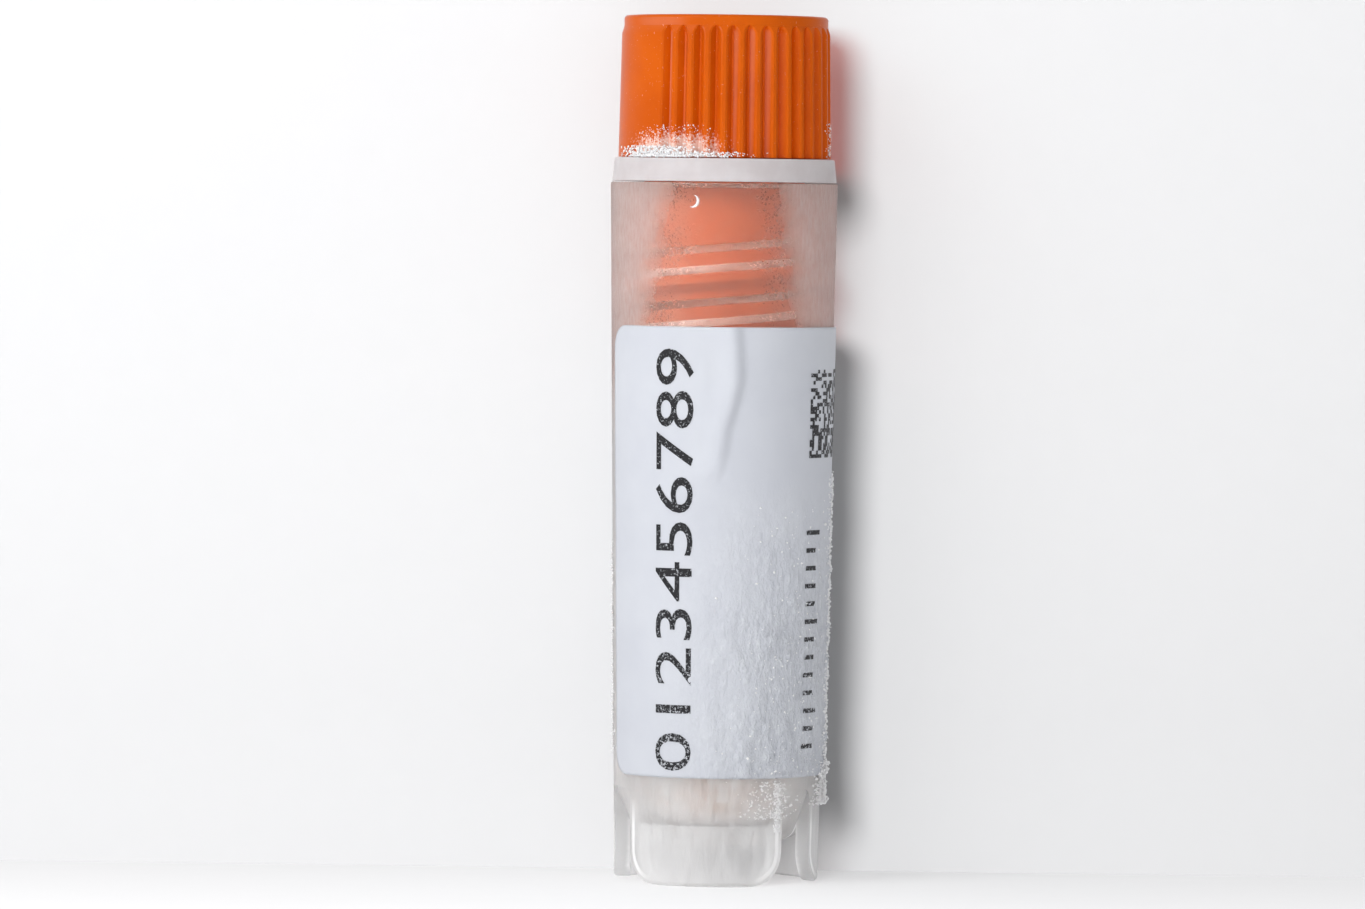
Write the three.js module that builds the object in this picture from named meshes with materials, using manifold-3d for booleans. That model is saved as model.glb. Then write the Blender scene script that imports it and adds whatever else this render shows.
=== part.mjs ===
import * as THREE from 'three';
import { mergeVertices } from 'three/addons/utils/BufferGeometryUtils.js';
import Module from 'manifold-3d';

// A 2 mL cryogenic vial: tapered tube with an internally threaded neck and a slotted foot,
// ribbed screw cap with a hollow threaded stem, silicone sealing washer, wrap-round label
// and the frozen sample inside. Millimetres, +Z up, standing on z = 0.
// An azimuth is measured from -Y (the front) towards +X, in degrees.

// Tube
const tubeHeight = 38.2;
const rimRadius = 6.22;
const footRadius = 5.575;
const rimRounding = 0.25;
const neckWall = 1.12;
const neckLeadIn = 0.3;
const shoulderStep = 0.25;
const shoulderDrop = 0.35;
const boreDraft = 0.15;

// Bottom of the vessel
const vesselRise = 2;
const kneeInset = 1.125;
const kneeRise = 0.5;
const kneeRounding = 0.9;
const dishRounding = 7;
const bottomWall = 1.1;
const floorKneeInset = 0.9;
const floorWallLift = 0.7;

// Foot: tabs left standing between slots in the skirt
const tabCount = 3;
const tabWall = 0.85;
const tabAzimuth = -9;
const tabCornerRadius = 1.9;
const slotWidth = 2.35;
const slotHeight = 5.2;
const slotBridge = 0.1;
const slotCornerRadius = 0.5;

// Thread: single start, right hand, the same flank slope on tube and stem
const threadPitch = 2.9;
const threadTopDepth = 3;
const threadTopAzimuth = 133;
const threadFlank = 1;
const threadRunout = 1.6;
const threadRoot = 0.15;
const tubeThreadTurns = 1.75;
const tubeThreadHeight = 0.5;
const tubeThreadCrest = 0.6;
const stemThreadTurns = 1.25;
const stemThreadCrest = 0.4;
const stemThreadClearance = 0.15;
const stemCoreClearance = 0.2;
const threadPlay = 0.2;

// Cap
const headHeight = 7.73;
const headInset = 0.4;
const headDraft = 0.12;
const headEdgeRounding = 0.15;
const bandStep = 0.12;
const bandHeight = 0.58;
const bandChamferHeight = 0.4;
const bandRounding = 0.25;
const discRimWall = 1.2;
const discRecessDepth = 0.6;
const groovePositions = 38;
const groovesPerSide = 13;
const panelAzimuth = -67.4;
const grooveDepth = 0.42;
const grooveFloorWidth = 0.1;
const grooveMouthWidth = 0.66;
const grooveRunout = 0.57;
const stemOverrun = 0.7;
const stemWall = 1.2;
const stemChamfer = 0.35;
const hollowRoofWall = 1.5;
const hollowRoofRounding = 1.2;

// Sealing washer
const washerThickness = 1.27;
const washerInset = 0.075;
const washerFlare = 0.13;
const washerRounding = 0.12;
const washerStemClearance = 0.15;
const washerSeatGap = 0.05;

// Label
const labelFootMargin = 0.72;
const labelRimMargin = 7.8;
const labelLength = 32.5;
const labelThickness = 0.12;
const labelEndAzimuth = -71;
const labelCornerRadius = 1.3;
const labelGap = 0.02;

// Frozen sample
const sampleDepth = 15.9;
const sampleDome = 0.5;
const sampleShoulder = 2;
const sampleGap = 0.15;

// Facets
const turnSegments = 60;
const arcStepAngle = 40;
const threadStepsPerTurn = 30;
const cornerSegments = 6;
const cutterMargin = 1;

const wasm = await Module();
wasm.setup();

const radians = THREE.MathUtils.degToRad;
const upright = new THREE.Matrix4().makeRotationX(Math.PI / 2);

function toSolid(geometry) {
  geometry.deleteAttribute('normal');
  geometry.deleteAttribute('uv');
  const merged = mergeVertices(geometry, 1e-5);
  const index = merged.index.array;
  const triVerts = [];
  for (let i = 0; i < index.length; i += 3) {
    const [a, b, c] = index.subarray(i, i + 3);
    if (a !== b && b !== c && c !== a) triVerts.push(a, b, c);
  }
  const vertProperties = new Float32Array(merged.attributes.position.array);
  const mesh = new wasm.Mesh({ numProp: 3, vertProperties, triVerts: new Uint32Array(triVerts) });
  return new wasm.Manifold(mesh);
}

function toGeometry(solid) {
  const { vertProperties, triVerts } = solid.getMesh();
  const geometry = new THREE.BufferGeometry();
  geometry.setAttribute('position', new THREE.BufferAttribute(vertProperties, 3));
  geometry.setIndex(new THREE.BufferAttribute(triVerts, 1));
  geometry.computeVertexNormals();
  return geometry;
}

// Corners are [radius, height, rounding]; each rounding becomes an arc tangent to both sides.
function roundedOutline(corners) {
  const points = [];
  corners.forEach(([r, z, rounding = 0], i) => {
    const corner = new THREE.Vector2(r, z);
    if (!rounding) {
      points.push(corner);
      return;
    }
    const [before, after] = [corners[i - 1], corners[i + 1]];
    const back = new THREE.Vector2(before[0] - r, before[1] - z).normalize();
    const ahead = new THREE.Vector2(after[0] - r, after[1] - z).normalize();
    const half = Math.acos(back.dot(ahead)) / 2;
    const bisector = back.clone().add(ahead).normalize();
    const centre = corner.clone().addScaledVector(bisector, rounding / Math.sin(half));
    const from = corner.clone().addScaledVector(back, rounding / Math.tan(half)).sub(centre);
    const to = corner.clone().addScaledVector(ahead, rounding / Math.tan(half)).sub(centre);
    const sweep = Math.atan2(from.cross(to), from.dot(to));
    const steps = Math.max(2, Math.round(Math.abs(sweep) / radians(arcStepAngle)));
    for (let step = 0; step <= steps; step += 1) {
      points.push(from.clone().rotateAround(new THREE.Vector2(), (sweep * step) / steps).add(centre));
    }
  });
  return points;
}

function revolve(corners) {
  return toSolid(new THREE.LatheGeometry(roundedOutline(corners), turnSegments).applyMatrix4(upright));
}

function extrude(outline, depth) {
  return new THREE.ExtrudeGeometry(outline, { depth, bevelEnabled: false, curveSegments: cornerSegments });
}

// A flat piece (x along the arc, y up, z outwards from the radius) wrapped round the tube's axis.
function wrapRound(geometry, radius, startAzimuth, risePerTurn = 0) {
  const position = geometry.attributes.position;
  for (let i = 0; i < position.count; i += 1) {
    const turn = position.getX(i) / radius;
    const angle = radians(startAzimuth) + turn;
    const reach = radius + position.getZ(i);
    const height = position.getY(i) + (risePerTurn * turn) / (2 * Math.PI);
    position.setXYZ(i, reach * Math.sin(angle), -reach * Math.cos(angle), height);
  }
  return toSolid(geometry);
}

// An outline laid on the wall at a radius, reaching well inside it and well outside.
function wrappedCutter(outline, radius, azimuth) {
  return wrapRound(extrude(outline, radius).translate(0, 0, -radius / 2), radius, azimuth);
}

function tubeRadiusAt(z) {
  return THREE.MathUtils.lerp(footRadius, rimRadius, z / tubeHeight);
}

const threadTopZ = tubeHeight - threadTopDepth;
const tubeThreadBase = tubeThreadCrest + 2 * threadFlank * tubeThreadHeight;
const shoulderZ = threadTopZ - tubeThreadTurns * threadPitch - tubeThreadBase / 2;
const neckBoreRadius = rimRadius - neckWall;
const boreTopRadius = neckBoreRadius - shoulderStep;
const boreBottomRadius = boreTopRadius - boreDraft;
const vesselWallZ = slotHeight + slotBridge;
const kneeRadius = footRadius - kneeInset;

// The inside surface of the vessel, from the axis at the bottom up to the straight bore.
function vesselInterior(inset) {
  const floorZ = vesselRise + bottomWall + inset;
  const floorKneeRadius = kneeRadius - floorKneeInset - inset;
  return [
    [0, floorZ],
    [floorKneeRadius / 2, floorZ, dishRounding],
    [floorKneeRadius, floorZ + kneeRise, kneeRounding],
    [boreBottomRadius - inset, vesselWallZ + floorWallLift],
  ];
}

// Threads
// A ridge standing out of a wall along a helix; side is 1 outwards and -1 into a bore.
function helicalRidge({ wallRadius, side, height, crest, turns, topZ }) {
  const length = turns * 2 * Math.PI * wallRadius;
  const steps = Math.round(turns * threadStepsPerTurn);
  const ridge = new THREE.BoxGeometry(length, 1, 1, steps, 1, 1);
  const position = ridge.attributes.position;
  for (let i = 0; i < position.count; i += 1) {
    const along = position.getX(i) - length / 2;
    const outer = position.getZ(i) * side > 0;
    const toEnd = Math.min(-along, length + along);
    const fullness = THREE.MathUtils.smoothstep(toEnd, 0, threadRunout);
    const reach = outer ? height * fullness : -threadRoot;
    const halfWidth = crest / 2 + threadFlank * (height - reach);
    position.setXYZ(i, along, Math.sign(position.getY(i)) * halfWidth, side * reach);
  }
  return wrapRound(ridge, wallRadius, threadTopAzimuth, threadPitch).translate([0, 0, topZ]);
}

const stemCoreRadius = neckBoreRadius - tubeThreadHeight - stemCoreClearance;
const stemThreadHeight = neckBoreRadius - stemThreadClearance - stemCoreRadius;
const flankOverlap = tubeThreadHeight - stemThreadClearance;
const flankDrop = (tubeThreadCrest + stemThreadCrest) / 2 + threadFlank * flankOverlap + threadPlay;

// Tube
function slotCutter(azimuth) {
  const half = slotWidth / 2;
  const outline = new THREE.Shape();
  outline.moveTo(-half - tabCornerRadius, -cutterMargin);
  outline.lineTo(half + tabCornerRadius, -cutterMargin);
  outline.lineTo(half + tabCornerRadius, 0);
  outline.absarc(half + tabCornerRadius, tabCornerRadius, tabCornerRadius, -Math.PI / 2, -Math.PI, true);
  outline.absarc(half - slotCornerRadius, slotHeight - slotCornerRadius, slotCornerRadius, 0, Math.PI / 2);
  outline.absarc(slotCornerRadius - half, slotHeight - slotCornerRadius, slotCornerRadius, Math.PI / 2, Math.PI);
  outline.absarc(-half - tabCornerRadius, tabCornerRadius, tabCornerRadius, 0, -Math.PI / 2, true);
  return wrappedCutter(outline, footRadius, azimuth);
}

function makeTube() {
  const wallRadius = tubeRadiusAt(vesselWallZ);
  const vessel = revolve([
    [0, vesselRise],
    [kneeRadius / 2, vesselRise, dishRounding],
    [kneeRadius, vesselRise + kneeRise, kneeRounding],
    [wallRadius, vesselWallZ],
    [rimRadius, tubeHeight, rimRounding],
    [neckBoreRadius + neckLeadIn, tubeHeight],
    [neckBoreRadius, tubeHeight - neckLeadIn],
    [neckBoreRadius, shoulderZ],
    [boreTopRadius, shoulderZ - shoulderDrop],
    ...vesselInterior(0).reverse(),
  ]);
  let skirt = revolve([
    [footRadius - tabWall, 0],
    [footRadius, 0],
    [wallRadius, vesselWallZ],
    [wallRadius - tabWall / 2, vesselWallZ + tabWall / 2],
    [wallRadius - tabWall, vesselWallZ],
    [footRadius - tabWall, 0],
  ]);
  for (let i = 0; i < tabCount; i += 1) {
    skirt = skirt.subtract(slotCutter(tabAzimuth + ((i + 0.5) * 360) / tabCount));
  }
  const thread = helicalRidge({
    wallRadius: neckBoreRadius,
    side: -1,
    height: tubeThreadHeight,
    crest: tubeThreadCrest,
    turns: tubeThreadTurns,
    topZ: threadTopZ,
  });
  return vessel.add(skirt).add(thread);
}

// Cap
const washerBottomZ = tubeHeight + washerSeatGap;
const headBottomZ = washerBottomZ + washerThickness + washerSeatGap;
const headTopZ = headBottomZ + headHeight;
const headBottomRadius = rimRadius - headInset;
const headTopRadius = headBottomRadius - headDraft;
const bandBottomZ = headTopZ - bandHeight;
const bandRadius = headTopRadius - bandStep;
const grooveFloorRadius = headTopRadius - grooveDepth;

function grooveCutter(azimuth) {
  const flank = (grooveMouthWidth - grooveFloorWidth) / 2 / grooveDepth;
  const reach = headBottomRadius + grooveDepth;
  const mouthHalf = grooveFloorWidth / 2 + flank * (reach - grooveFloorRadius);
  const outline = new THREE.Shape([
    new THREE.Vector2(grooveFloorRadius, -grooveFloorWidth / 2),
    new THREE.Vector2(reach, -mouthHalf),
    new THREE.Vector2(reach, mouthHalf),
    new THREE.Vector2(grooveFloorRadius, grooveFloorWidth / 2),
  ]);
  // The groove follows the draft of the wall, then its floor curves out through the foot of the plain band.
  const climb = bandRadius - grooveFloorRadius;
  const rings = [
    { z: headBottomZ - cutterMargin, outwards: headDraft },
    { z: bandBottomZ - grooveRunout, outwards: 0 },
    { z: bandBottomZ - 0.3 * grooveRunout, outwards: 0.3 * climb },
    { z: bandBottomZ + 0.3 * grooveRunout, outwards: 1.7 * climb },
  ];
  const steps = rings.length - 1;
  const cutter = new THREE.ExtrudeGeometry(outline, { depth: steps, steps, bevelEnabled: false });
  const position = cutter.attributes.position;
  for (let i = 0; i < position.count; i += 1) {
    const ring = rings[Math.round(position.getZ(i))];
    position.setXYZ(i, position.getX(i) + ring.outwards, position.getY(i), ring.z);
  }
  return toSolid(cutter.rotateZ(radians(azimuth - 90)));
}

function makeCap() {
  const stemBottomZ = shoulderZ - stemOverrun;
  const stemHollowRadius = stemCoreRadius - stemWall;
  const recessRadius = bandRadius - discRimWall;
  const recessFloorZ = headTopZ - discRecessDepth;
  let cap = revolve([
    [0, recessFloorZ - hollowRoofWall],
    [stemHollowRadius, recessFloorZ - hollowRoofWall, hollowRoofRounding],
    [stemHollowRadius, stemBottomZ],
    [stemCoreRadius - stemChamfer, stemBottomZ],
    [stemCoreRadius, stemBottomZ + stemChamfer],
    [stemCoreRadius, headBottomZ],
    [headBottomRadius, headBottomZ, headEdgeRounding],
    [headTopRadius, bandBottomZ - bandChamferHeight],
    [bandRadius, bandBottomZ],
    [bandRadius, headTopZ, bandRounding],
    [recessRadius, headTopZ],
    [recessRadius, recessFloorZ],
    [0, recessFloorZ],
  ]);
  const pitch = 360 / groovePositions;
  for (const sideAzimuth of [panelAzimuth + 90, panelAzimuth + 270]) {
    for (let i = 0; i < groovesPerSide; i += 1) {
      cap = cap.subtract(grooveCutter(sideAzimuth + (i - (groovesPerSide - 1) / 2) * pitch));
    }
  }
  const thread = helicalRidge({
    wallRadius: stemCoreRadius,
    side: 1,
    height: stemThreadHeight,
    crest: stemThreadCrest,
    turns: stemThreadTurns,
    topZ: threadTopZ - flankDrop,
  });
  return cap.add(thread);
}

function makeWasher() {
  const innerRadius = stemCoreRadius + washerStemClearance;
  const outerRadius = rimRadius - washerInset;
  const topZ = washerBottomZ + washerThickness;
  return revolve([
    [innerRadius, washerBottomZ],
    [outerRadius, washerBottomZ, washerRounding],
    [outerRadius - washerFlare, topZ, washerRounding],
    [innerRadius, topZ],
    [innerRadius, washerBottomZ],
  ]);
}

// Label
function makeLabel() {
  const labelBottomZ = slotHeight + labelFootMargin;
  const labelTopZ = tubeHeight - labelRimMargin;
  const labelHeight = labelTopZ - labelBottomZ;
  const inner = (z) => tubeRadiusAt(z) + labelGap;
  const ring = revolve([
    [inner(labelBottomZ), labelBottomZ],
    [inner(labelBottomZ) + labelThickness, labelBottomZ],
    [inner(labelTopZ) + labelThickness, labelTopZ],
    [inner(labelTopZ), labelTopZ],
    [inner(labelBottomZ), labelBottomZ],
  ]);
  const radius = tubeRadiusAt((labelBottomZ + labelTopZ) / 2);
  const gap = 2 * Math.PI * radius - labelLength;
  const half = gap / 2;
  const corner = labelCornerRadius;
  const outline = new THREE.Shape();
  outline.moveTo(-half - corner, -cutterMargin);
  outline.lineTo(half + corner, -cutterMargin);
  outline.lineTo(half + corner, 0);
  outline.absarc(half + corner, corner, corner, -Math.PI / 2, -Math.PI, true);
  outline.absarc(half + corner, labelHeight - corner, corner, Math.PI, Math.PI / 2, true);
  outline.lineTo(half + corner, labelHeight + cutterMargin);
  outline.lineTo(-half - corner, labelHeight + cutterMargin);
  outline.absarc(-half - corner, labelHeight - corner, corner, Math.PI / 2, 0, true);
  outline.absarc(-half - corner, corner, corner, 0, -Math.PI / 2, true);
  const gapAzimuth = labelEndAzimuth - THREE.MathUtils.radToDeg(half / radius);
  return ring.subtract(wrappedCutter(outline, radius, gapAzimuth).translate([0, 0, labelBottomZ]));
}

// Frozen sample
function makeSample() {
  const interior = vesselInterior(sampleGap);
  const [wallRadius, wallZ] = interior.at(-1);
  const topZ = vesselRise + bottomWall + sampleDepth;
  const topRadius = wallRadius + (boreDraft * (topZ - wallZ)) / (shoulderZ - shoulderDrop - wallZ);
  return revolve([
    ...interior,
    [topRadius, topZ],
    [topRadius - sampleShoulder, topZ + sampleDome, sampleShoulder],
    [0, topZ + sampleDome],
  ]);
}

function addPiece(group, name, solid, look) {
  const mesh = new THREE.Mesh(toGeometry(solid), new THREE.MeshStandardMaterial(look));
  mesh.name = name;
  group.add(mesh);
}

const cryovial = new THREE.Group();
cryovial.name = 'cryovial';
addPiece(cryovial, 'vial_tube', makeTube(), {
  color: '#dfe1e4', roughness: 0.35, metalness: 0, transparent: true, opacity: 0.45,
});
addPiece(cryovial, 'frozen_sample', makeSample(), { color: '#d6d2cc', roughness: 0.6, metalness: 0 });
addPiece(cryovial, 'wrap_label', makeLabel(), { color: '#dfe3ea', roughness: 0.55, metalness: 0 });
addPiece(cryovial, 'sealing_washer', makeWasher(), { color: '#e6e2e2', roughness: 0.6, metalness: 0 });
addPiece(cryovial, 'screw_cap', makeCap(), { color: '#e06a22', roughness: 0.5, metalness: 0 });

export default cryovial;
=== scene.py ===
import math
import random

import bmesh
import bpy
from mathutils import Euler, Matrix, Vector, noise


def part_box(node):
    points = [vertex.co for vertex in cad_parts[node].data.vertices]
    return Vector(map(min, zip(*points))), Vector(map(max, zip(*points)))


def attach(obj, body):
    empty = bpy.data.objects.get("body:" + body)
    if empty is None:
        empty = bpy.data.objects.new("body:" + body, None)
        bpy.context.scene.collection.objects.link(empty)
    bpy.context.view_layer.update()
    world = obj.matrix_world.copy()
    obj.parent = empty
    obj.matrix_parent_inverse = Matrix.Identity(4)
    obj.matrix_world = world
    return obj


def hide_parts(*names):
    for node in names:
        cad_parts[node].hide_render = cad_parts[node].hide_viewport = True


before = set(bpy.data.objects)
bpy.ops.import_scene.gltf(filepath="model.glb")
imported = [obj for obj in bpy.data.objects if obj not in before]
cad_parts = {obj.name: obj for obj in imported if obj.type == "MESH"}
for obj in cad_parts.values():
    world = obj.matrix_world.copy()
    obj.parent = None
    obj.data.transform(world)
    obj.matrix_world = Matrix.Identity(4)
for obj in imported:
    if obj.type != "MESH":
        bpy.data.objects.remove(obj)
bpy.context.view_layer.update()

mm = 0.001
print("frame loaded:", ", ".join(sorted(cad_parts)))


# Shared helpers. An azimuth is measured from -Y (the front) towards +X, in degrees

def hexColor(code):
    # sRGB hex to the linear colour a shader socket takes
    channels = [int(code[i:i + 2], 16) / 255 for i in (1, 3, 5)]
    linear = [c / 12.92 if c <= 0.04045 else ((c + 0.055) / 1.055) ** 2.4 for c in channels]
    return (*linear, 1.0)


def addNode(tree, kind, values=None):
    # Settings and sockets by name or number; a node or a socket as a value is linked in
    node = tree.nodes.new("ShaderNode" + kind)
    for name, value in (values or {}).items():
        if isinstance(name, str) and hasattr(node, name):
            setattr(node, name, value)
        elif isinstance(value, bpy.types.Node):
            tree.links.new(value.outputs[0], node.inputs[name])
        elif isinstance(value, bpy.types.NodeSocket):
            tree.links.new(value, node.inputs[name])
        else:
            node.inputs[name].default_value = value
    return node


def newMaterial(name):
    # An empty material, with the object's own coordinates in mm for its patterns
    material = bpy.data.materials.new(name)
    material.use_nodes = True
    tree = material.node_tree
    tree.nodes.clear()
    place = addNode(tree, "TexCoord")
    at = addNode(tree, "VectorMath", {"operation": "SCALE", 0: place.outputs["Object"], "Scale": 1 / mm})
    return material, tree, at


def span(low, high, toLow=0.0, toHigh=1.0, ease="LINEAR"):
    # The values of a MapRange node that takes low to toLow and high to toHigh
    return {"interpolation_type": ease, "From Min": low, "From Max": high, "To Min": toLow, "To Max": toHigh}


def mottled(tree, at, colors, scale, detail):
    # Soft patches of two close colours
    cloud = addNode(tree, "TexNoise", {"Vector": at, "Scale": scale, "Detail": detail})
    shade = addNode(tree, "MapRange", {"Value": cloud, **span(0.35, 0.65)})
    first, second = map(hexColor, colors)
    return addNode(tree, "Mix", {"data_type": "RGBA", 0: shade, 6: first, 7: second}).outputs[2]


def seenDirectly(tree):
    # 1 where the camera looks straight, through a clear wall or into a gloss; 0 for light on things
    path = addNode(tree, "LightPath")
    seen = path.outputs["Is Camera Ray"]
    for ray in ("Is Transmission Ray", "Is Glossy Ray"):
        seen = addNode(tree, "Math", {"operation": "MAXIMUM", 0: seen, 1: path.outputs[ray]})
    return seen


def passLampLight(tree, shader, color):
    # The material's output, where a lamp's light goes on through the piece and takes its colour
    path = addNode(tree, "LightPath")
    glow = addNode(tree, "BsdfTransparent", {"Color": hexColor(color)})
    mix = addNode(tree, "MixShader", {0: path.outputs["Is Shadow Ray"], 1: shader, 2: glow})
    addNode(tree, "OutputMaterial", {"Surface": mix})


def lerp(a, b, t):
    return a + (b - a) * t


def smoothstep(low, high, x):
    t = min(max((x - low) / (high - low), 0), 1)
    return t * t * (3 - 2 * t)


def onCylinder(radius, azimuth, z):
    a = math.radians(azimuth)
    return Vector((radius * math.sin(a), -radius * math.cos(a), z)) * mm


def turnMesh(bm, degrees, axis="Z"):
    turned = Matrix.Rotation(math.radians(degrees), 3, axis)
    bmesh.ops.rotate(bm, verts=bm.verts, cent=(0, 0, 0), matrix=turned)


def newPiece(name, bm, sharpAngle=35):
    mesh = bpy.data.meshes.new(name)
    bm.to_mesh(mesh)
    bm.free()
    mesh.shade_smooth()
    mesh.set_sharp_from_angle(angle=math.radians(sharpAngle))
    piece = bpy.data.objects.new(name, mesh)
    bpy.context.collection.objects.link(piece)
    return piece


def applyModifiers(piece):
    graph = bpy.context.evaluated_depsgraph_get()
    mesh = bpy.data.meshes.new_from_object(piece.evaluated_get(graph))
    piece.modifiers.clear()
    piece.data = mesh


def combine(base, tool, operation):
    # Joins or cuts two closed meshes; the tool is used up
    modifier = base.modifiers.new(operation, "BOOLEAN")
    modifier.operation = operation
    modifier.solver = "EXACT"
    modifier.object = tool
    applyModifiers(base)
    bpy.data.objects.remove(tool)


def finishPiece(piece, body, material, nodes=()):
    piece.data.materials.clear()
    piece.data.materials.append(material)
    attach(piece, body)
    if nodes:
        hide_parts(*nodes)
    print("made", piece.name, len(piece.data.polygons), "faces")


def spinOutline(corners, steps, closed=True):
    # Corners are (radius, height, rounding) in mm; an open outline starts and ends on the axis
    bm = bmesh.new()
    verts = [bm.verts.new((r * mm, 0, z * mm)) for r, z, _ in corners]
    ends = verts[1:] + verts[:1] if closed else verts[1:]
    edges = [bm.edges.new(pair) for pair in zip(verts, ends)]
    bmesh.ops.spin(bm, geom=verts + edges, cent=(0, 0, 0), axis=(0, 0, 1), dvec=(0, 0, 0),
                   angle=2 * math.pi, steps=steps, use_merge=True)
    bmesh.ops.remove_doubles(bm, verts=bm.verts, dist=1e-7)
    bmesh.ops.recalc_face_normals(bm, faces=bm.faces)
    return bm


def roundRings(bm, corners, segments=6):
    for r, z, rounding in corners:
        if rounding:
            at = Vector((r * mm, z * mm))
            ring = [e for e in bm.edges
                    if all((Vector((v.co.xy.length, v.co.z)) - at).length < 1e-6 for v in e.verts)]
            bmesh.ops.bevel(bm, geom=ring, offset=rounding * mm, affect="EDGES", segments=segments,
                            profile=0.5, material=-1)


# Camera: above the middle of the vial, tipped down a little and rolled by under a degree

camera = {
    "distance": 440,      # from the vial's axis
    "side": -2.28, "height": 37,
    "lens": 211.8, "sensor": 36,
    "tip": 1.784, "roll": -0.72,
}


def makeCamera():
    data = bpy.data.cameras.new("camera")
    data.lens = camera["lens"]
    data.sensor_width = camera["sensor"]
    data.clip_start = 0.01
    data.clip_end = 10
    view = bpy.data.objects.new("camera", data)
    view.location = (camera["side"] * mm, -camera["distance"] * mm, camera["height"] * mm)
    view.rotation_euler = Euler((math.radians(90 - camera["tip"]), math.radians(camera["roll"]), 0))
    bpy.context.collection.objects.link(view)
    bpy.context.scene.camera = view


makeCamera()
print("camera set")

# Tube

tube = {
    "height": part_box("vial_tube")[1].z / mm,
    "rimRadius": 6.22, "footRadius": 5.575, "rimRounding": 0.12,
    "neckBore": 5.1, "leadIn": 0.3, "shoulder": 29.325, "shoulderDrop": 0.35,
    "boreTop": 4.85, "boreBottom": 4.7,
    "vesselRise": 2, "kneeRadius": 4.45, "kneeRise": 0.5, "kneeRounding": 0.42, "dishRounding": 0.8,
    "bottomWall": 1.1, "floorKnee": 3.55, "floorLift": 0.7,
    "vesselWall": 5.3, "tabWall": 0.85, "tabAzimuth": -9, "tabs": 3, "tabCorner": 1.9,
    "slotWidth": 2.35, "slotHeight": 5.2, "slotCorner": 0.5, "edge": 0.27,
    "threadPitch": 2.9, "threadTop": 35.2, "threadAzimuth": 133, "threadTurns": 1.75,
    "threadHeight": 0.42, "threadCrest": 0.68, "threadRunout": 1.6,
    "steps": 144,
}


def tubeRadius(z):
    return lerp(tube["footRadius"], tube["rimRadius"], z / tube["height"])


def makeThread(wallRadius, side, height, crest, turns, topZ, azimuth):
    # A trapezoid swept down a right-hand helix from its top end, thinned out at both ends
    root = 0.12
    perTurn = 64
    steps = round(turns * perTurn)
    pitch = tube["threadPitch"]
    halfRoot = crest / 2 + height + root
    outline = [(-root, -halfRoot), (height, -crest / 2), (height, crest / 2), (-root, halfRoot)]
    bm = bmesh.new()
    verts = [bm.verts.new(((wallRadius + side * reach) * mm, 0, (topZ + z) * mm)) for reach, z in outline]
    face = bm.faces.new(verts)
    bmesh.ops.spin(bm, geom=[face], cent=(0, 0, 0), axis=(0, 0, -1), angle=steps * 2 * math.pi / perTurn,
                   dvec=(0, 0, -pitch * mm / perTurn), steps=steps)
    for v in bm.verts:
        r = v.co.xy.length / mm
        turn = (topZ - v.co.z / mm) / pitch * 2 * math.pi
        angle = -math.atan2(v.co.y, v.co.x)
        along = angle + 2 * math.pi * round((turn - angle) / (2 * math.pi))
        toEnd = min(along, steps * 2 * math.pi / perTurn - along) * wallRadius
        if side * (r - wallRadius) > 0:
            reach = height * smoothstep(0, tube["threadRunout"], toEnd)
            middle = topZ - along / (2 * math.pi) * pitch
            halfWidth = crest / 2 + height - reach
            v.co.z = (middle + math.copysign(halfWidth, v.co.z / mm - middle)) * mm
            v.co.xy = v.co.xy * ((wallRadius + side * reach) / r)
    turnMesh(bm, azimuth - 90)
    bmesh.ops.recalc_face_normals(bm, faces=bm.faces)
    return newPiece("thread", bm)


def makeSlotCutter(azimuth):
    # A flat outline pushed radially through the skirt: a slot with a flared mouth between two tabs
    half, top, corner = tube["slotWidth"] / 2, tube["slotHeight"], tube["slotCorner"]
    big = tube["tabCorner"]
    outline = [(-half - big, -1), (half + big, -1), (half + big, 0)]
    for i in range(1, 9):
        a = math.radians(-90 - 90 * i / 8)
        outline.append((half + big + big * math.cos(a), big + big * math.sin(a)))
    for i in range(5):
        a = math.radians(90 * i / 4)
        outline.append((half - corner + corner * math.cos(a), top - corner + corner * math.sin(a)))
    outline += [(-x, z) for x, z in reversed(outline[2:])]
    bm = bmesh.new()
    verts = [bm.verts.new((x * mm, -0.003, z * mm)) for x, z in outline]
    face = bm.faces.new(verts)
    pushed = bmesh.ops.extrude_face_region(bm, geom=[face])
    moved = [v for v in pushed["geom"] if isinstance(v, bmesh.types.BMVert)]
    bmesh.ops.translate(bm, verts=moved, vec=(0, -0.005, 0))
    bmesh.ops.recalc_face_normals(bm, faces=bm.faces)
    turnMesh(bm, azimuth)
    return newPiece("slotCutter", bm)


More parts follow.
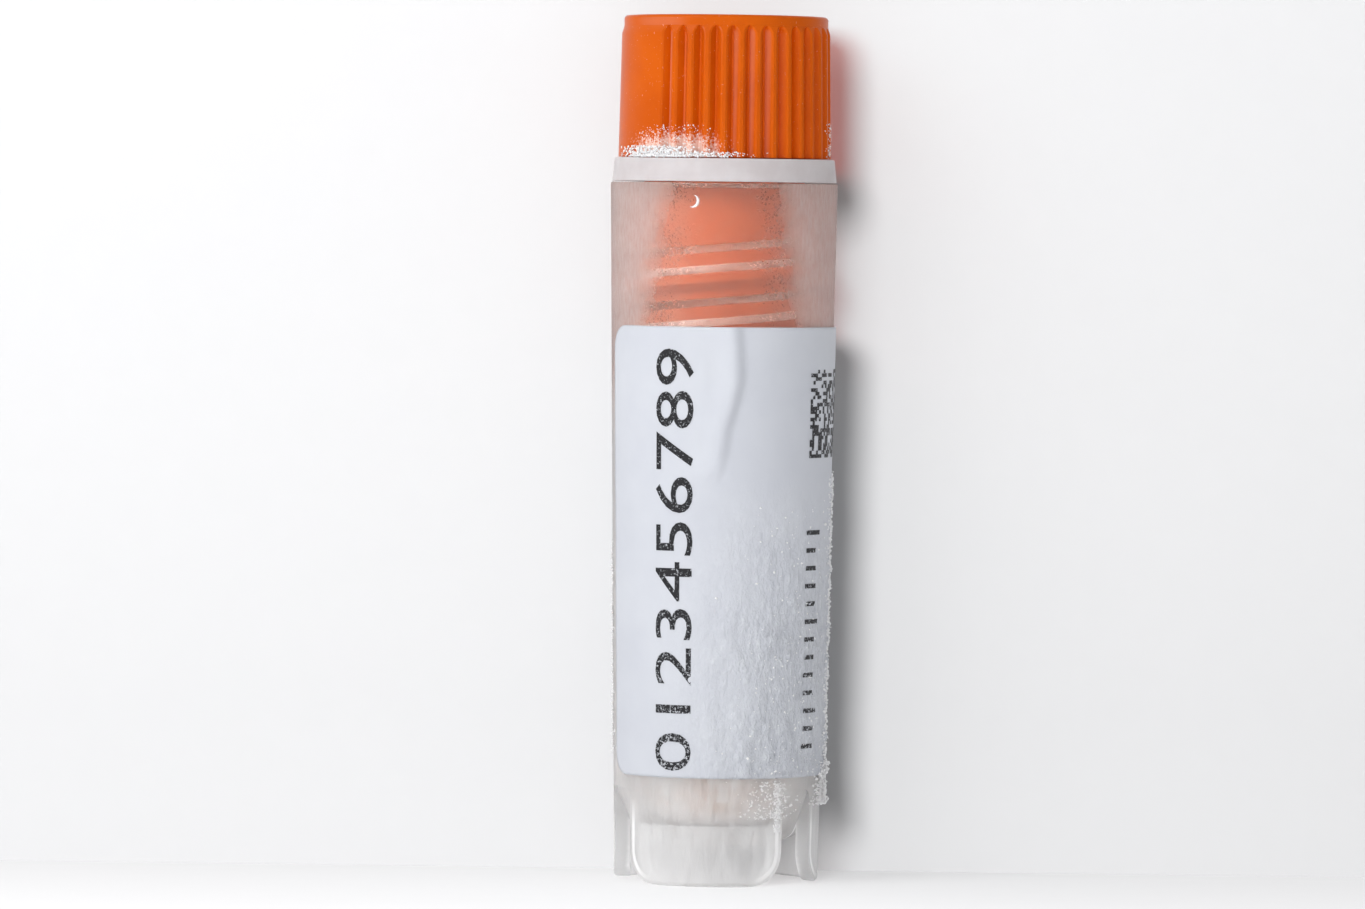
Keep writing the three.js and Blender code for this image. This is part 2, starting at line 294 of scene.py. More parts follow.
def makeTube(material):
    wall = tubeRadius(tube["vesselWall"])
    floorZ = tube["vesselRise"] + tube["bottomWall"]
    corners = [
        (0, tube["vesselRise"], 0),
        (tube["kneeRadius"] / 2, tube["vesselRise"], tube["dishRounding"]),
        (tube["kneeRadius"], tube["vesselRise"] + tube["kneeRise"], tube["kneeRounding"]),
        (wall, tube["vesselWall"], 0),
        (tube["rimRadius"], tube["height"], tube["rimRounding"]),
        (tube["neckBore"] + tube["leadIn"], tube["height"], 0),
        (tube["neckBore"], tube["height"] - tube["leadIn"], 0),
        (tube["neckBore"], tube["shoulder"], 0),
        (tube["boreTop"], tube["shoulder"] - tube["shoulderDrop"], 0),
        (tube["boreBottom"], tube["vesselWall"] + tube["floorLift"], 0.6),
        (tube["floorKnee"], floorZ + tube["kneeRise"], tube["kneeRounding"]),
        (tube["floorKnee"] / 2, floorZ, tube["dishRounding"]),
        (0, floorZ, 0),
    ]
    bm = spinOutline(corners, tube["steps"], closed=False)
    roundRings(bm, corners)
    piece = newPiece("tubeWall", bm)
    foot, wallIn = tube["footRadius"], wall - tube["tabWall"]
    skirtCorners = [
        (foot - tube["tabWall"], 0, tube["edge"]),
        (foot, 0, tube["edge"]),
        (wall, tube["vesselWall"], 0),
        (wall - tube["tabWall"] / 2, tube["vesselWall"] + tube["tabWall"] / 2, 0),
        (wallIn, tube["vesselWall"], 0),
    ]
    bm = spinOutline(skirtCorners, tube["steps"])
    roundRings(bm, skirtCorners, 3)
    skirt = newPiece("skirt", bm)
    for i in range(tube["tabs"]):
        combine(skirt, makeSlotCutter(tube["tabAzimuth"] + (i + 0.5) * 360 / tube["tabs"]), "DIFFERENCE")
    combine(piece, skirt, "UNION")
    thread = makeThread(tube["neckBore"], -1, tube["threadHeight"], tube["threadCrest"],
                        tube["threadTurns"], tube["threadTop"], tube["threadAzimuth"])
    combine(piece, thread, "UNION")
    piece.data.shade_smooth()
    piece.data.set_sharp_from_angle(angle=math.radians(30))
    finishPiece(piece, "vial", material, ["vial_tube"])


clearPlastic = {
    # in the neck the haze colours are pink: painted glow from the orange stem inside, which stays when the
    # cap is off
    "clear": ("#fcfcfc", "#fff5ea"), "haze": ("#f2e7e3", "#dfc8c0"), "footHaze": "#fbfbfb",
    "halfSpan": span(30.4, 38, 4.5, 3.2), "fade": 0.9,      # the clear window: half its width by height
    "roughness": (0.22, 0.6), "passed": (0.97, 0.74), "footPassed": 0.5, "inner": 0.46,
    "seenThrough": (0.28, 0.12),          # light that goes straight on in the foot, and in the bore
    "lampTint": "#f4f3f3", "boreRadius": 5.3, "streakStretch": (2.2, 2.2, 0.5),
    "dropSize": 0.17, "dropHeight": 0.048, "crust": 0.9,
    "rim": 0.32, "rimHalf": 0.17, "rimPassed": 0.1,       # the bright line inside a tab's outline
    "wanderNoise": {"Scale": 0.9, "Detail": 3.0, "Roughness": 0.55}, "shiftSpan": span(0, 1, -0.9, 0.9),
    "behindSpan": span(-2.0, -1.0), "cloudNoise": {"Scale": 0.45, "Detail": 5.0, "Roughness": 0.6},
    "rimeNoise": {"Scale": 1.0, "Detail": 5.0, "Roughness": 0.65},
    "footHazeSpan": span(0.35, 0.65, 0.15, 0.8), "inNeckSpan": span(24, 28),
    "domeSpan": span(0.45, 0.1, ease="SMOOTHSTEP"), "ringSpan": span(-3.0, -0.6, ease="SMOOTHERSTEP"),
    "outRingSpan": span(0.6, -0.2), "patchSpan": span(0.42, 0.5),
    "grainyNoise": {"Scale": 3.0, "Detail": 4.0, "Roughness": 0.7}, "rimedSpan": span(0.35, 0.65),
    "sidesSpan": span(0.2, 1.2), "shortSpan": span(4.6, 3.2),
}


def makeTubeMaterial():
    # Natural polypropylene, moulded: milky and rough with frost, nearly clear where its neck is wiped,
    # with a fine mist of drops along the edges of that window
    m = clearPlastic
    material, tree, at = newMaterial("natural polypropylene")
    xyz = addNode(tree, "SeparateXYZ", {0: at})
    across = addNode(tree, "Math", {"operation": "ABSOLUTE", 0: xyz.outputs["X"]})
    wander = addNode(tree, "TexNoise", {"Vector": at, **m["wanderNoise"]})
    shift = addNode(tree, "MapRange", {"Value": wander, **m["shiftSpan"]})
    half = addNode(tree, "MapRange", {"Value": xyz.outputs["Z"], **m["halfSpan"]})
    past = addNode(tree, "Math", {"operation": "SUBTRACT", 0: across, 1: half})
    edge = addNode(tree, "Math", {"operation": "ADD", 0: past, 1: shift})
    neckHaze = addNode(tree, "MapRange", {"Value": edge, **span(-m["fade"], m["fade"], ease="SMOOTHSTEP")})
    behind = addNode(tree, "MapRange", {"Value": xyz.outputs["Y"], **m["behindSpan"]})
    frosted = addNode(tree, "Math", {"operation": "MAXIMUM", 0: neckHaze, 1: behind})
    cloud = addNode(tree, "TexNoise", {"Vector": at, **m["cloudNoise"]})
    streaks = addNode(tree, "VectorMath", {"operation": "MULTIPLY", 0: at, 1: m["streakStretch"]})
    rime = addNode(tree, "TexNoise", {"Vector": streaks, **m["rimeNoise"]})
    footHaze = addNode(tree, "MapRange", {"Value": rime, **m["footHazeSpan"]})
    inNeck = addNode(tree, "MapRange", {"Value": xyz.outputs["Z"], **m["inNeckSpan"]})
    haze = addNode(tree, "Mix", {0: inNeck, 2: footHaze, 3: frosted})
    # the bore is a little rough everywhere, which softens what lies inside
    flat = addNode(tree, "VectorMath", {"operation": "MULTIPLY", 0: at, 1: (1, 1, 0)})
    radius = addNode(tree, "VectorMath", {"operation": "LENGTH", 0: flat})
    bore = addNode(tree, "Math", {"operation": "LESS_THAN", 0: radius.outputs["Value"], 1: m["boreRadius"]})
    boreInNeck = addNode(tree, "Math", {"operation": "MULTIPLY", 0: bore, 1: inNeck})
    outer = addNode(tree, "MapRange", {"Value": haze, **span(0, 1, *m["roughness"])})
    roughness = addNode(tree, "Mix", {0: boreInNeck, 2: outer, 3: m["inner"]})
    # drops: domes on a cell pattern, thickest where the haze begins
    cells = addNode(tree, "TexVoronoi", {"Vector": at, "Scale": 1 / m["dropSize"], "Randomness": 1.0})
    dome = addNode(tree, "MapRange", {"Value": cells, **m["domeSpan"]})
    ring = addNode(tree, "MapRange", {"Value": edge, **m["ringSpan"]})
    outRing = addNode(tree, "MapRange", {"Value": edge, **m["outRingSpan"]})
    patch = addNode(tree, "MapRange", {"Value": cloud, **m["patchSpan"]})
    mist = dome
    for share in (ring, outRing, patch, inNeck):
        mist = addNode(tree, "Math", {"operation": "MULTIPLY", 0: mist, 1: share})
    grainy = addNode(tree, "TexNoise", {"Vector": streaks, **m["grainyNoise"]})
    crust = addNode(tree, "Math", {"operation": "MULTIPLY", 0: grainy, 1: haze})
    height = addNode(tree, "Math", {"operation": "MULTIPLY_ADD", 0: crust, 1: m["crust"], 2: mist})
    bumped = addNode(tree, "Bump", {"Height": height, "Strength": 1.0, "Distance": m["dropHeight"] * mm})
    rimed = addNode(tree, "MapRange", {"Value": grainy, **m["rimedSpan"]})
    # painted glow: the neck's haze takes a pink tint for the orange light from the stem that would scatter
    # in the wall
    neckPaintedGlow = addNode(tree, "Mix", {"data_type": "RGBA", 0: rimed, 6: hexColor(m["haze"][1]),
                                     7: hexColor(m["haze"][0])})
    tint = addNode(tree, "Mix", {"data_type": "RGBA", 0: inNeck, 6: hexColor(m["footHaze"]),
                                 7: neckPaintedGlow.outputs[2]})
    clear = addNode(tree, "Mix", {"data_type": "RGBA", 0: inNeck, 6: hexColor(m["clear"][0]),
                                  7: hexColor(m["clear"][1])})
    base = addNode(tree, "Mix", {"data_type": "RGBA", 0: haze, 6: clear.outputs[2], 7: tint.outputs[2]})
    most = addNode(tree, "Mix", {0: inNeck, 2: m["footPassed"], 3: m["passed"][1]})
    # painted highlight: a bright line a little inside the tabs' rounded outlines, where the wall is made to
    # let less light through
    back = addNode(tree, "Math", {"operation": "MULTIPLY", 0: xyz.outputs["Y"], 1: -1.0})
    azimuth = addNode(tree, "Math", {"operation": "ARCTAN2", 0: xyz.outputs["X"], 1: back})
    share = 2 * math.pi / tube["tabs"]
    middle = math.radians(tube["tabAzimuth"])
    turned = addNode(tree, "Math", {"operation": "SUBTRACT", 0: azimuth, 1: middle})
    wrapped = addNode(tree, "Math", {"operation": "WRAP", 0: turned, 1: share / 2, 2: -share / 2})
    turn = addNode(tree, "Math", {"operation": "ABSOLUTE", 0: wrapped})
    corner = tube["tabCorner"]
    flatHalf = share / 2 * tube["footRadius"] - tube["slotWidth"] / 2 - corner
    pastFlat = addNode(tree, "Math", {"operation": "MULTIPLY_ADD", 0: turn, 1: tube["footRadius"],
                                      2: -flatHalf})
    aside = addNode(tree, "Math", {"operation": "MAXIMUM", 0: pastFlat, 1: 0.0})
    belowCorner = addNode(tree, "Math", {"operation": "SUBTRACT", 0: corner, 1: xyz.outputs["Z"]})
    under = addNode(tree, "Math", {"operation": "MAXIMUM", 0: belowCorner, 1: 0.0})
    fromCorner = addNode(tree, "CombineXYZ", {0: aside, 1: under})
    reach = addNode(tree, "VectorMath", {"operation": "LENGTH", 0: fromCorner})
    past = addNode(tree, "Math", {"operation": "SUBTRACT", 0: corner - m["rim"], 1: reach.outputs["Value"]})
    off = addNode(tree, "Math", {"operation": "ABSOLUTE", 0: past})
    glint = span(m["rimHalf"], m["rimHalf"] / 3, ease="SMOOTHSTEP")
    line = addNode(tree, "MapRange", {"Value": off, **glint})
    sides = addNode(tree, "MapRange", {"Value": aside, **m["sidesSpan"]})
    short = addNode(tree, "MapRange", {"Value": xyz.outputs["Z"], **m["shortSpan"]})
    rim = line
    for share in (sides, short):
        rim = addNode(tree, "Math", {"operation": "MULTIPLY", 0: rim, 1: share})
    inWall = addNode(tree, "MapRange", {"Value": haze, "To Min": m["passed"][0], "To Max": most})
    passed = addNode(tree, "Mix", {0: rim, 2: inWall, 3: m["rimPassed"]})
    shader = addNode(tree, "BsdfPrincipled", {
        "Base Color": base.outputs[2], "IOR": 1.49, "Roughness": roughness, "Normal": bumped,
        "Transmission Weight": passed,
    })
    # some light goes straight on, or the bore and its thread would show hard and bright, and the foot dark
    inBore = addNode(tree, "Math", {"operation": "MULTIPLY", 0: boreInNeck, 1: m["seenThrough"][1]})
    offRim = addNode(tree, "Math", {"operation": "MULTIPLY_ADD", 0: rim, 1: -m["seenThrough"][0],
                                    2: m["seenThrough"][0]})
    through = addNode(tree, "Mix", {0: inNeck, 2: offRim, 3: inBore})
    milky = addNode(tree, "MixShader", {0: through, 1: shader, 2: addNode(tree, "BsdfTransparent")})
    # what is inside the thin wall and behind it isn't in the dark
    passLampLight(tree, milky, m["lampTint"])
    return material


makeTube(makeTubeMaterial())

# Cap

cap = {
    "headBottom": 39.57, "headHeight": 7.73, "bottomRadius": 5.82, "topRadius": 5.7,
    "bandRadius": 5.58, "bandHeight": 0.58, "bandChamfer": 0.4, "bandRounding": 0.2,
    "recessRadius": 4.38, "recessDepth": 0.6,
    "positions": 38, "perSide": 13, "panelAzimuth": -67.4,
    "grooveDepth": 0.42, "floorWidth": 0.1, "mouthWidth": 0.66, "grooveRunout": 0.57, "crestEdge": 0.065,
    "stemRadius": 4.4, "stemBottom": 28.625, "stemChamfer": 0.35, "hollowRadius": 3.2,
    "hollowRoof": 45.2, "hollowRounding": 0.9,
    "threadHeight": 0.55, "threadCrest": 0.4, "threadTurns": 1.25, "threadTop": 34.15,
}


def makeCap(material):
    top = cap["headBottom"] + cap["headHeight"]
    bandZ = top - cap["bandHeight"]
    chamferZ = bandZ - cap["bandChamfer"]
    climbZ = bandZ - cap["grooveRunout"]
    flank = (cap["mouthWidth"] - cap["floorWidth"]) / 2 / cap["grooveDepth"]

    def surfaceRadius(z):
        if z > chamferZ:
            return lerp(cap["topRadius"], cap["bandRadius"], min((z - chamferZ) / cap["bandChamfer"], 1))
        up = (z - cap["headBottom"]) / (chamferZ - cap["headBottom"])
        return lerp(cap["bottomRadius"], cap["topRadius"], up)

    levels = [lerp(climbZ, bandZ, t) for t in (0, 0.5, 0.7, 0.85, 0.95, 1)]
    levels = sorted([cap["headBottom"], chamferZ] + levels)
    corners = [
        (0, cap["hollowRoof"], 0),
        (cap["hollowRadius"], cap["hollowRoof"], cap["hollowRounding"]),
        (cap["hollowRadius"], cap["stemBottom"], 0.12),
        (cap["stemRadius"] - cap["stemChamfer"], cap["stemBottom"], 0),
        (cap["stemRadius"], cap["stemBottom"] + cap["stemChamfer"], 0.1),
        (cap["stemRadius"], cap["headBottom"], 0),
        *[(surfaceRadius(z), z, 0) for z in levels],
        (cap["bandRadius"], top, cap["bandRounding"]),
        (cap["recessRadius"], top, 0.06),
        (cap["recessRadius"], top - cap["recessDepth"], 0.1),
        (0, top - cap["recessDepth"], 0),
    ]
    perPitch = 8
    pitch = 360 / cap["positions"]
    bm = spinOutline(corners, cap["positions"] * perPitch, closed=False)
    roundRings(bm, corners)
    first = cap["panelAzimuth"] + 90 - (cap["perSide"] - 1) / 2 * pitch
    turnMesh(bm, first - 90)
    for v in bm.verts:
        z = v.co.z / mm
        radius = surfaceRadius(max(z, cap["headBottom"]))
        if abs(v.co.xy.length / mm - radius) > 1e-4 or not any(abs(z - level) < 1e-4 for level in levels):
            continue
        count = (math.degrees(math.atan2(v.co.x, -v.co.y)) - first) / pitch
        if round(count) % (cap["positions"] // 2) >= cap["perSide"]:
            continue
        # a groove is a V whose floor curves out into the band; the wall's points move to its corners
        t = min(max((z - climbZ) / cap["grooveRunout"], 0), 1)
        climb = 1 - math.sqrt(1 - t * t)
        deep = lerp(surfaceRadius(min(z, chamferZ)) - cap["grooveDepth"], cap["bandRadius"], climb)
        floorHalf = cap["floorWidth"] / 2 * (1 - climb)
        mouthHalf = floorHalf + flank * (radius - deep)
        edge = min(cap["crestEdge"], (radius - deep) * 0.4)
        index = round((count - round(count)) * perPitch)
        place = {
            0: (0, deep), 1: (floorHalf, deep),
            2: (mouthHalf - flank * edge, radius - edge), 3: (mouthHalf + edge, radius),
        }.get(abs(index))
        if place:
            offset = math.copysign(math.degrees(place[0] / place[1]), index)
            v.co = onCylinder(place[1], first + round(count) * pitch + offset, z)
    piece = newPiece("capBody", bm, 20)
    thread = makeThread(cap["stemRadius"], 1, cap["threadHeight"], cap["threadCrest"],
                        cap["threadTurns"], cap["threadTop"], tube["threadAzimuth"])
    combine(piece, thread, "UNION")
    piece.data.shade_smooth()
    piece.data.set_sharp_from_angle(angle=math.radians(20))
    finishPiece(piece, "cap", material, ["screw_cap"])


capPlastic = {
    # the pale dust colour is also painted on as sheen where the flanks face the light
    "orange": ("#d05b07", "#c85406"), "dustAndSheen": "#f4ddd2", "passed": "#d4785c",
    "cloudSize": 3.0, "grainSize": 0.12,   # coarser than real mould texture
    "roughness": (0.31, 0.7), "grooveSpan": span(5.7, 5.5),
    # amounts of dust, except the third, which is a painted sheen on the flanks lit from the left
    "onFace": 0.55, "inGroove": 0.3, "paintedSheen": 0.1, "sheenLightSide": (-0.66, -0.75, 0),   # amounts of dust
    "lowSpan": span(41.6, 39.6, ease="SMOOTHSTEP"), "asideSpan": span(1.2, -2.2, ease="SMOOTHSTEP"),
    "farSideSpan": span(-5.4, -4.2), "frontSpan": span(-1.0, -2.5),
    "flankSpan": span(0.93, 0.995, ease="SMOOTHSTEP"), "dustedSpan": span(0.68, 0.95, 0, 0.75),
    "bumpRelief": {"Strength": 0.25, "Distance": 0.01 * mm},
}


def makeCapMaterial():
    # Polypropylene dyed through and moulded: an even orange, satin, with frost dust low in its grooves, and
    # a painted sheen on the groove flanks that face the light
    m = capPlastic
    material, tree, at = newMaterial("moulded orange polypropylene")
    xyz = addNode(tree, "SeparateXYZ", {0: at})
    orange = mottled(tree, at, m["orange"], 1 / m["cloudSize"], 3.0)
    grain = addNode(tree, "TexNoise", {"Vector": at, "Scale": 1 / m["grainSize"], "Detail": 2.0})
    # dust lies low down on the front and thins out upwards and to the right
    low = addNode(tree, "MapRange", {"Value": xyz.outputs["Z"], **m["lowSpan"]})
    aside = addNode(tree, "MapRange", {"Value": xyz.outputs["X"], **m["asideSpan"]})
    farSide = addNode(tree, "MapRange", {"Value": xyz.outputs["X"], **m["farSideSpan"]})
    front = addNode(tree, "MapRange", {"Value": xyz.outputs["Y"], **m["frontSpan"]})
    head = addNode(tree, "Math", {"operation": "GREATER_THAN", 0: xyz.outputs["Z"],
                                  1: cap["headBottom"] - 0.02})
    amount = low
    for share in (aside, head, farSide, front):
        amount = addNode(tree, "Math", {"operation": "MULTIPLY", 0: amount, 1: share})
    # and a painted sheen: the pale dust colour on the groove flanks that face the light at the left
    flat = addNode(tree, "VectorMath", {"operation": "MULTIPLY", 0: at, 1: (1, 1, 0)})
    radius = addNode(tree, "VectorMath", {"operation": "LENGTH", 0: flat})
    groove = addNode(tree, "MapRange", {"Value": radius.outputs["Value"], **m["grooveSpan"]})
    place = addNode(tree, "TexCoord")
    facing = addNode(tree, "VectorMath", {"operation": "DOT_PRODUCT", 0: place.outputs["Normal"],
                                          1: m["sheenLightSide"]})
    flank = addNode(tree, "MapRange", {"Value": facing.outputs["Value"], **m["flankSpan"]})
    litFlank = addNode(tree, "Math", {"operation": "MULTIPLY", 0: groove, 1: flank})
    paintedSheen = addNode(tree, "Math", {"operation": "MULTIPLY", 0: litFlank, 1: m["paintedSheen"]})
    inGroove = addNode(tree, "Math", {"operation": "MULTIPLY", 0: groove, 1: amount})
    speck = addNode(tree, "Math", {"operation": "MULTIPLY_ADD", 0: amount, 1: m["onFace"], 2: grain})
    settled = addNode(tree, "Math", {"operation": "MULTIPLY_ADD", 0: inGroove, 1: m["inGroove"], 2: speck})
    dusted = addNode(tree, "MapRange", {"Value": settled, **m["dustedSpan"]})
    # the colour turns pale where there is dust or painted sheen
    dustAndSheen = addNode(tree, "Math", {"operation": "MAXIMUM", 0: dusted, 1: paintedSheen})
    base = addNode(tree, "Mix", {"data_type": "RGBA", 0: dustAndSheen, 6: orange, 7: hexColor(m["dustAndSheen"])})
    bump = addNode(tree, "Bump", {"Height": grain, **m["bumpRelief"]})
    shader = addNode(tree, "BsdfPrincipled", {
        "Base Color": base.outputs[2], "IOR": 1.49, "Specular IOR Level": 0.08, "Normal": bump,
        "Roughness": addNode(tree, "MapRange", {"Value": dustAndSheen, **span(0, 1, *m["roughness"])}),
    })
    # strong light glows red through the thin walls, so the cap's shadow is tinted
    passLampLight(tree, shader, m["passed"])
    return material


makeCap(makeCapMaterial())

# Washer

washer = {
    "inner": 4.55, "bottomRadius": 6.145, "topRadius": 6.015, "bottom": 38.25, "thickness": 1.27,
    "rounding": 0.06,
}


def makeWasher(material):
    topZ = washer["bottom"] + washer["thickness"]
    corners = [
        (washer["inner"], washer["bottom"], 0.05),
        (washer["bottomRadius"], washer["bottom"], washer["rounding"]),
        (washer["topRadius"], topZ, washer["rounding"]),
        (washer["inner"], topZ, 0.05),
    ]
    bm = spinOutline(corners, 128)
    roundRings(bm, corners, 5)
    finishPiece(newPiece("washerRing", bm), "seal", material, ["sealing_washer"])


rubber = {
    "white": ("#d0cbcc", "#c6bfc0"), "roughness": 0.55, "cloudScale": 0.6, "grainSize": 0.15,
    "bumpRelief": {"Strength": 0.35, "Distance": 0.02 * mm},
}


def makeWasherMaterial():
    # Cut silicone sheet: milky, soft and matt, with a fine grain on its face
    m = rubber
    material, tree, at = newMaterial("milky silicone")
    base = mottled(tree, at, m["white"], m["cloudScale"], 4.0)
    grain = addNode(tree, "TexNoise", {"Vector": at, "Scale": 1 / m["grainSize"], "Detail": 3.0})
    bump = addNode(tree, "Bump", {"Height": grain, **m["bumpRelief"]})
    shader = addNode(tree, "BsdfPrincipled", {
        "Base Color": base, "IOR": 1.41, "Roughness": m["roughness"], "Normal": bump,
        "Subsurface Weight": 0.25, "Subsurface Radius": (1.0, 0.8, 0.75), "Subsurface Scale": 0.8 * mm,
    })
    addNode(tree, "OutputMaterial", {"Surface": shader})
    return material


makeWasher(makeWasherMaterial())

# Label. Its own places are s, mm round the tube from the front, and z

label = {
    "bottom": 5.92, "top": 30.4, "length": 32.5, "endAzimuth": -71, "corner": 1.3,
    "thickness": 0.11, "gap": 0.03, "cell": 0.17,
    # the fold: (s, z, height) down its ridge
    "fold": [(0.55, 31, 0.28), (0.53, 30.4, 0.29), (0.68, 28.6, 0.33), (0.7, 27.6, 0.35), (0.42, 26.2, 0.34),
             (0.05, 24.9, 0.31), (-0.1, 23.6, 0.24), (-0.3, 22.6, 0.16), (-0.4, 22.0, 0.0)],
    "foldWidth": 0.46,
    # small mounds beside the fold: height, (s, z) and half widths
    "crease": (0.05, (-0.95, 27.8), (0.16, 0.75)), "pucker": (0.07, (-0.3, 22.1), (0.4, 0.3)),
    "puckerGrain": 3.1, "wave": 0.03, "waveGrain": 0.25, "deepest": -0.02,
    # frost: how far it reaches from the right, from below and round the side, and its relief
    "frostRight": (-4.0, 4.5), "frostLow": (24, 12), "frostEnd": (14, 9), "frostCloud": 0.35,
    "ripple": 0.15, "crumb": 0.3, "crumbFloor": 0.15,
    "seed": 11,
}


def labelRadius(z):
    return tubeRadius(z) + label["gap"]


def labelMean():
    return labelRadius((label["top"] + label["bottom"]) / 2)


def foldHeight(s, z):
    # a ridge with a soft left side and a steep right side
    points = label["fold"]
    if z <= points[-1][1] or z >= points[0][1]:
        return 0
    for (s0, z0, h0), (s1, z1, h1) in zip(points, points[1:]):
        if z1 <= z <= z0:
            t = (z0 - z) / (z0 - z1)
            off = s - lerp(s0, s1, t)
            width = label["foldWidth"] * (1.6 if off < 0 else 0.7)
            return lerp(h0, h1, t) * math.exp(-(off / width) ** 2)
    return 0


def frostAmount(s, z):
    # 0 on the clean film, 1 in the thick frost low on the right
    right = smoothstep(*label["frostRight"], s + 0.1 * (14 - z))
    low = smoothstep(*label["frostLow"], z)
    cloud = noise.noise(Vector((s * 0.5, z * 0.35, 3))) * label["frostCloud"] * smoothstep(-2, 1, s)
    return min(max(right * low + cloud * low, 0), 1) * smoothstep(*label["frostEnd"], s)


def mound(s, z, spot):
    height, (atS, atZ), (wide, tall) = spot
    return height * math.exp(-((s - atS) / wide) ** 2 - ((z - atZ) / tall) ** 2)


def labelLift(s, z):
    place = Vector((s, z, label["seed"]))
    lift = foldHeight(s, z) + label["wave"] * noise.noise(place * label["waveGrain"])
    lift += mound(s, z, label["crease"])
    lift += mound(s, z, label["pucker"]) * noise.noise(place * label["puckerGrain"])
    ripple = label["ripple"] * noise.noise(Vector((s * 1.1 + z * 0.12, z * 0.4, 5)))
    crumb = label["crumb"] * max(noise.noise(Vector((s * 2.6, z * 1.9, 9))) - label["crumbFloor"], 0)
    return max(lift + frostAmount(s, z) * (ripple + crumb), label["deepest"])


def makeLabel(material):
    height = label["top"] - label["bottom"]
    length = label["length"]
    bm = bmesh.new()
    bmesh.ops.create_grid(bm, x_segments=round(length / label["cell"]),
                          y_segments=round(height / label["cell"]), size=0.5)
    frosted = bm.verts.layers.float.new("frost")
    radius = labelMean()
    corner = label["corner"]
    for v in bm.verts:
        x, y = v.co.x * length, v.co.y * height
        # square corners squeezed to quarter rounds
        a = abs(x) - (length / 2 - corner)
        b = abs(y) - (height / 2 - corner)
        if a > 0 and b > 0:
            squeeze = max(a, b) / math.hypot(a, b)
            x = math.copysign(length / 2 - corner + a * squeeze, x)
            y = math.copysign(height / 2 - corner + b * squeeze, y)
        z = (label["top"] + label["bottom"]) / 2 + y
        s = math.radians(label["endAzimuth"]) * radius + x + length / 2
        v[frosted] = frostAmount(s, z)
        v.co = onCylinder(labelRadius(z) + labelLift(s, z), math.degrees(s / radius), z)
    piece = newPiece("labelSheet", bm, 60)
    solid = piece.modifiers.new("thickness", "SOLIDIFY")
    solid.thickness = label["thickness"] * mm
    solid.offset = 1
    applyModifiers(piece)
    finishPiece(piece, "vial", material, ["wrap_label"])


film = {
    "white": ("#ced1d8", "#c9ccd4"), "frost": "#e4e8ec", "shade": "#b4b8c2",
    "roughness": 0.48, "cloudScale": 0.3, "fibreSize": 0.25, "speckSize": 0.3, "stretch": (1, 1, 0.55),
    "lightSpan": span(0.55, 0.75), "darkSpan": span(0.45, 0.25, 0, 0.8),
    "fineRelief": {"Strength": 0.12, "Distance": 0.02 * mm},
    "bumpRelief": {"Strength": 1.0, "Distance": 0.25 * mm},
}


def makeLabelMaterial():
    # Matt polyester film with a thermal coat: cool white, faintly mottled, and frosted low on the right,
    # with painted shade in the frost's hollows
    m = film
    material, tree, at = newMaterial("matt polyester film")
    white = mottled(tree, at, m["white"], m["cloudScale"], 4.0)
    frost = addNode(tree, "Attribute", {"attribute_name": "frost"})
    stretch = addNode(tree, "VectorMath", {"operation": "MULTIPLY", 0: at, 1: m["stretch"]})
    speckle = addNode(tree, "TexNoise", {"Vector": stretch, "Scale": 1 / m["speckSize"], "Detail": 4.0,
                                         "Roughness": 0.65})
    # in the frost, the speckle's high spots are whiter frost and its low spots are painted grey as shade in
    # the hollows of the relief it raises below
    light = addNode(tree, "MapRange", {"Value": speckle, **m["lightSpan"]})
    dark = addNode(tree, "MapRange", {"Value": speckle, **m["darkSpan"]})
    lit = addNode(tree, "Math", {"operation": "MULTIPLY", 0: light, 1: frost.outputs["Fac"]})
    dim = addNode(tree, "Math", {"operation": "MULTIPLY", 0: dark, 1: frost.outputs["Fac"]})
    dimmed = addNode(tree, "Mix", {"data_type": "RGBA", 0: dim, 6: white, 7: hexColor(m["shade"])})
    base = addNode(tree, "Mix", {"data_type": "RGBA", 0: lit, 6: dimmed.outputs[2], 7: hexColor(m["frost"])})
    fibre = addNode(tree, "TexNoise", {"Vector": at, "Scale": 1 / m["fibreSize"], "Detail": 2.0})
    fine = addNode(tree, "Bump", {"Height": fibre, **m["fineRelief"]})
    icy = addNode(tree, "Math", {"operation": "MULTIPLY", 0: speckle, 1: frost.outputs["Fac"]})
    bump = addNode(tree, "Bump", {"Height": icy, **m["bumpRelief"], "Normal": fine})
    shader = addNode(tree, "BsdfPrincipled", {
        "Base Color": base.outputs[2], "IOR": 1.5, "Roughness": m["roughness"], "Normal": bump,
        "Specular IOR Level": 0.35,
    })
    addNode(tree, "OutputMaterial", {"Surface": shader})
    return material


makeLabel(makeLabelMaterial())

# Print on the label: plain numbers, a plain scale and a block of random squares

ink = {
    "black": "#1c1c20", "rubbed": "#d2d5dc", "wearSize": 0.12,
    "lift": 0.015, "cuts": 9,
    "digits": "0123456789", "digitHeight": 2.15, "baseS": -1.5, "fromZ": 6.3, "toZ": 29.2,
    "scaleS": 5.25, "scaleFromZ": 7.6, "scaleStep": 0.97, "scaleMarks": 13, "markWidth": 0.25,
    "markReach": (0.95, 1.3), "longEvery": 5, "firstLong": 2,   # ticks, short and long
    "blockS": 5.3, "blockZ": 23.3, "blockCells": 24, "blockCell": 0.2, "blockBare": 0.48,
    "seed": 5,
    "lowSpan": span(19, 8, 0.0, 0.06, "SMOOTHSTEP"), "wornSpan": span(0.58, 0.68, 0, 0.85),
}


def layOnLabel(bm):
    # flat print, with x as s and y as z in mm, goes round the label just above the film
    for v in bm.verts:
        s, z = v.co.x, v.co.y
        r = labelRadius(z) + labelLift(s, z) + label["thickness"] + ink["lift"]
        v.co = onCylinder(r, math.degrees(s / labelMean()), z)


